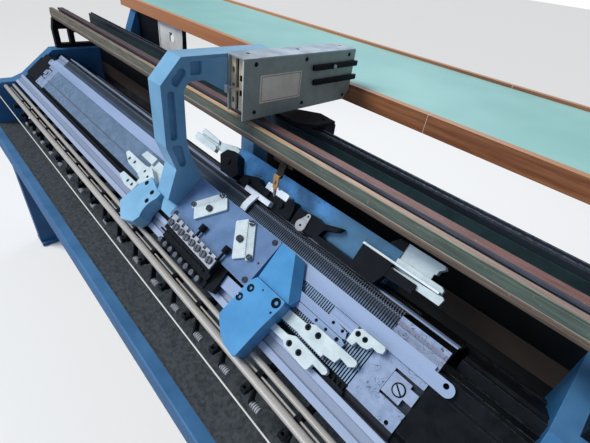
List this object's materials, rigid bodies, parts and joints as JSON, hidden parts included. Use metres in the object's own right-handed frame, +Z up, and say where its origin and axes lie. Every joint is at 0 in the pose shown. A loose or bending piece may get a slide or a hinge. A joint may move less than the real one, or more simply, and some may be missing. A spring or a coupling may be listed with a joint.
{
  "type": "flat knitting machine",
  "caption": "V-bed flat knitting machine with a sliding cam carriage and bow arm over two needle beds, yarn rails, racking rear bed, stands and a rear yarn table.",
  "frame": {"origin": "middle of the floor footprint, on the floor", "axes": "+X along the needle beds to the right, +Y to the rear yarn table, +Z up"},
  "size_m": [2.38, 1.221, 1.28],
  "materials": {
    "blue_paint": "semi-gloss light blue enamel, worn",
    "black_iron": "oiled black iron",
    "bed_steel": "ground steel, scratched and oiled",
    "needle_steel": "polished steel",
    "cam_grey": "grey-blue enamel",
    "index_white": "bright satin plates",
    "stop_white": "off-white moulded stops",
    "rod_white": "white paint",
    "head_grey": "grey hammered plates with bright edges",
    "tan_plate": "tan plated steel",
    "rail_paint": "olive and brown worn rail paint",
    "tray_grey": "dark grey dusty sheet",
    "table_green": "pale green laminate",
    "wood": "varnished hardwood lipping",
    "brass": "worn brass tip on dark arms"
  },
  "bodies": {
    "frame": {"left_stand": "blue_paint", "right_stand": "blue_paint", "rear_tie": "blue_paint", "front_bed_beam": "black_iron", "rear_bed_beam": "black_iron", "front_needle_bed": "bed_steel", "front_needles": "needle_steel", "front_bed_band": "bed_steel", "front_spring_row": "black_iron", "bed_end_plates": "bed_steel", "clamp_blocks": "bed_steel", "front_guide_rail": "bed_steel", "front_rod": "needle_steel", "second_rod": "needle_steel", "tension_brackets": "black_iron", "ribbed_knobs": "needle_steel", "pull_rod": "rod_white", "front_tray": "tray_grey", "blue_rim": "blue_paint", "yarn_rail_front": "rail_paint", "yarn_rail_rear": "rail_paint", "rail_posts": "black_iron", "rear_guide_rail": "black_iron", "rear_panel": "rail_paint", "table_top": "table_green", "table_edge": "wood", "side_bracket": "rod_white"},
    "rear_bed": {"rear_needle_bed": "bed_steel", "rear_needles": "needle_steel", "rear_bed_band": "bed_steel"},
    "carriage": {"cam_plate": "cam_grey", "front_cams": "cam_grey", "index_strips": "index_white", "left_bracket": "blue_paint", "right_bracket": "blue_paint", "wedge_plate": "blue_paint", "bow_arm": "blue_paint", "head_box": "head_grey", "head_top": "head_grey", "head_selectors": "tan_plate", "selector_plate": "needle_steel", "selector_base": "black_iron", "selector_heads": "needle_steel", "knurled_pins": "black_iron", "guide_strips": "bed_steel", "front_stops_right": "stop_white", "front_stops_left": "stop_white", "rear_cam_box": "blue_paint", "rear_castings": "black_iron", "rear_bright_parts": "needle_steel", "rear_stops_right": "stop_white", "rear_stops_left": "stop_white", "rear_bearing": "black_iron"},
    "stitch_plate_left": {"stitch_plate_left": "index_white"},
    "stitch_plate_right": {"stitch_plate_right": "index_white"},
    "carrier_slider_upper": {"carrier_slider_upper": "black_iron"},
    "carrier_slider_lower": {"carrier_slider_lower": "black_iron"},
    "teardrop_lever": {"teardrop_lever": "needle_steel"},
    "head_lever": {"head_lever": "needle_steel"},
    "feeder": {"yarn_feeder": "brass"}
  },
  "joints": [
    {"name": "rear_bed_rack", "type": "slide", "parent": "frame", "child": "rear_bed", "axis": [1, 0, 0], "range_m": [-0.01016, 0.01016]},
    {"name": "carriage_slide", "type": "slide", "parent": "frame", "child": "carriage", "axis": [1, 0, 0], "range_m": [-1.007, 0.193]},
    {"name": "feeder_slide", "type": "slide", "parent": "frame", "child": "feeder", "axis": [1, 0, 0], "range_m": [-1.45, 0.55]},
    {"name": "stitch_left_slide", "type": "slide", "parent": "carriage", "child": "stitch_plate_left", "axis": [-0.6587, -0.5929, -0.4632], "range_m": [-0.008, 0.008]},
    {"name": "stitch_right_slide", "type": "slide", "parent": "carriage", "child": "stitch_plate_right", "axis": [0.6587, -0.5929, -0.4632], "range_m": [-0.008, 0.008]},
    {"name": "carrier_upper_slide", "type": "slide", "parent": "carriage", "child": "carrier_slider_upper", "axis": [0, 1, 0], "range_m": [-0.012, 0.012]},
    {"name": "carrier_lower_slide", "type": "slide", "parent": "carriage", "child": "carrier_slider_lower", "axis": [0, 1, 0], "range_m": [-0.012, 0.012]},
    {"name": "teardrop_hinge", "type": "hinge", "parent": "carriage", "child": "teardrop_lever", "pos_m": [0.535, -0.27969, 1.00229], "axis": [0, 0.788, -0.6157], "range_deg": [-25, 25]},
    {"name": "head_lever_hinge", "type": "hinge", "parent": "carriage", "child": "head_lever", "pos_m": [0.284, -0.2725, 1.2155], "axis": [0, 0, 1], "range_deg": [-15, 15]}
  ]
}
